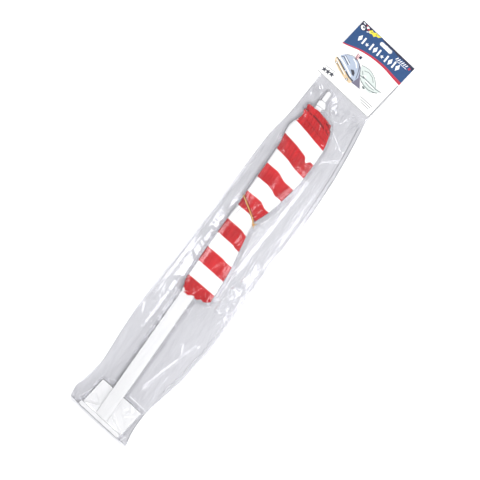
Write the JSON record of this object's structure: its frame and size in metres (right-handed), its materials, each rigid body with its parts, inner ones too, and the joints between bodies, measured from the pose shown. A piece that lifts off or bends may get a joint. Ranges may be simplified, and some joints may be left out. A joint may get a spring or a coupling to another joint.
{
  "type": "clip-on car window flag in retail bag",
  "caption": "Clip-on window flag with a moulded staff, its striped cloth rolled and tied, packed flat in a clear bag with a folded header card and hang hole.",
  "frame": {"origin": "on the bag's back face, under the staff's axis, at the clip's lower edge", "axes": "+Y along the staff from the clip to the tip, +Z from the face it lies on to the front, +X to the right seen from the front"},
  "size_m": [0.1207, 0.6181, 0.0211],
  "materials": {
    "white_plastic": "white moulded polypropylene, satin",
    "flag_cloth": "red and white striped printed polyester",
    "elastic": "thin golden elastic",
    "clear_film": "clear crinkled bag film, glossy",
    "card_stock": "printed coated card, semi-gloss"
  },
  "bodies": {
    "root": {"staff_lower": "white_plastic", "staff_collar": "white_plastic", "staff_upper": "white_plastic", "tip_barb": "white_plastic", "staff_tip": "white_plastic", "base_plate": "white_plastic", "base_ledge": "white_plastic", "gusset_left": "white_plastic", "gusset_right": "white_plastic", "hook_bridge": "white_plastic", "flag_roll": "flag_cloth", "flag_sleeve": "flag_cloth", "tie_band": "elastic", "tie_knot": "elastic", "bag_front_film": "clear_film", "bag_back_film": "clear_film", "bag_bottom_seal": "clear_film"},
    "clip_tongue": {"clip_leg": "white_plastic"},
    "header_card": {"bag_mouth": "clear_film", "card_front_panel": "card_stock", "card_back_panel": "card_stock", "card_top_fold": "card_stock"}
  },
  "joints": [
    {"name": "clip_flex", "type": "hinge", "parent": "root", "child": "clip_tongue", "pos_m": [0.0056, 0.0431, 0.0052], "axis": [0.9917, -0.1288, 0], "range_deg": [0, 2.5], "stiffness_Nm_per_rad": 7},
    {"name": "card_fold", "type": "hinge", "parent": "root", "child": "header_card", "pos_m": [0.01366, 0.51348, 0.0009], "axis": [0.9893, -0.1461, 0], "range_deg": [0, 90]}
  ]
}
